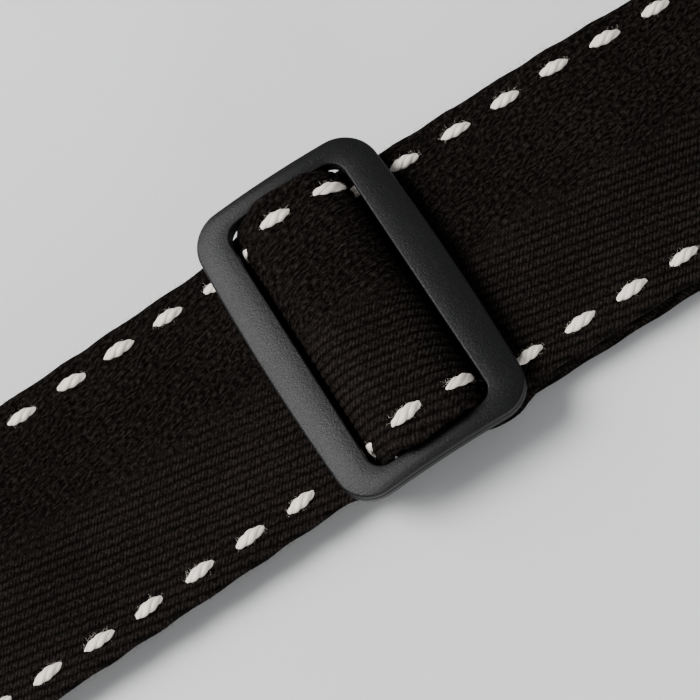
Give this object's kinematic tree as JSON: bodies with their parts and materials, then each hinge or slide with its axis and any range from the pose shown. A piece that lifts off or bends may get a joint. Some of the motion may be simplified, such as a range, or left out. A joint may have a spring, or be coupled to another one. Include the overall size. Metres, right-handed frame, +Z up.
{
  "type": "guitar strap",
  "caption": "Adjustable cotton webbing guitar strap with running-stitched edges, moulded slider, square ring and leather button-hole tabs.",
  "frame": {"origin": "centre of the tail tab's button hole, on the underside of the tab", "axes": "+X along the strap towards the front tab, +Y across the webbing, +Z up from the table, along the button hole"},
  "size_m": [1.2995, 0.063, 0.0172],
  "materials": {
    "webbing": "black-brown cotton herringbone webbing",
    "edge_yarn": "warm white twisted cotton yarn",
    "leather": "black smooth leather with fine grain",
    "backing_leather": "black split leather",
    "sewing_thread": "black polyester thread",
    "moulded_plastic": "black, fine sand-blast texture"
  },
  "bodies": {
    "tail": {"tail_tab_outer_leather": "leather", "tail_tab_backing_leather": "backing_leather", "tail_tab_stitching": "sewing_thread", "tail_run_webbing": "webbing", "tail_run_left_edge_yarn": "edge_yarn", "tail_run_right_edge_yarn": "edge_yarn"},
    "slider_carriage": {"slider_hump_webbing": "webbing", "slider_hump_left_edge_yarn": "edge_yarn", "slider_hump_right_edge_yarn": "edge_yarn", "sewn_loop_webbing": "webbing", "sewn_loop_stitching": "sewing_thread"},
    "slider": {"slider_frame": "moulded_plastic"},
    "ring_turn": {"ring_turn_webbing": "webbing", "ring_turn_left_edge_yarn": "edge_yarn", "ring_turn_right_edge_yarn": "edge_yarn", "front_run_webbing": "webbing", "front_run_left_edge_yarn": "edge_yarn", "front_run_right_edge_yarn": "edge_yarn", "return_run_webbing": "webbing"},
    "ring": {"square_ring": "moulded_plastic"},
    "front_tab": {"front_loop_webbing": "webbing", "front_loop_left_edge_yarn": "edge_yarn", "front_loop_right_edge_yarn": "edge_yarn", "front_tab_outer_leather": "leather", "front_tab_backing_leather": "backing_leather", "front_tab_stitching": "sewing_thread"}
  },
  "joints": [
    {"name": "slider_slide", "type": "slide", "parent": "tail", "child": "slider_carriage", "axis": [1, 0, 0], "range_m": [-0.35, 0.48], "deforming": ["tail_run_webbing", "tail_run_left_edge_yarn", "tail_run_right_edge_yarn"]},
    {"name": "front_slide", "type": "slide", "parent": "slider_carriage", "child": "ring_turn", "axis": [1, 0, 0], "range_m": [-0.24, 0.175], "deforming": ["front_run_webbing", "front_run_left_edge_yarn", "front_run_right_edge_yarn", "return_run_webbing"]},
    {"name": "slider_tilt", "type": "hinge", "parent": "slider_carriage", "child": "slider", "pos_m": [0.7, 0, 0.0102], "axis": [0, 1, 0], "range_deg": [-4, 4]},
    {"name": "ring_pivot", "type": "hinge", "parent": "ring_turn", "child": "ring", "pos_m": [1.1425, 0, 0.0045], "axis": [0, 1, 0], "range_deg": [-100, 100]},
    {"name": "tab_pivot", "type": "hinge", "parent": "ring", "child": "front_tab", "pos_m": [1.1625, 0, 0.0045], "axis": [0, 1, 0], "range_deg": [-70, 70]}
  ],
  "couplings": [
    {"joint": "front_slide", "follows": "slider_slide", "ratio": -0.5}
  ]
}
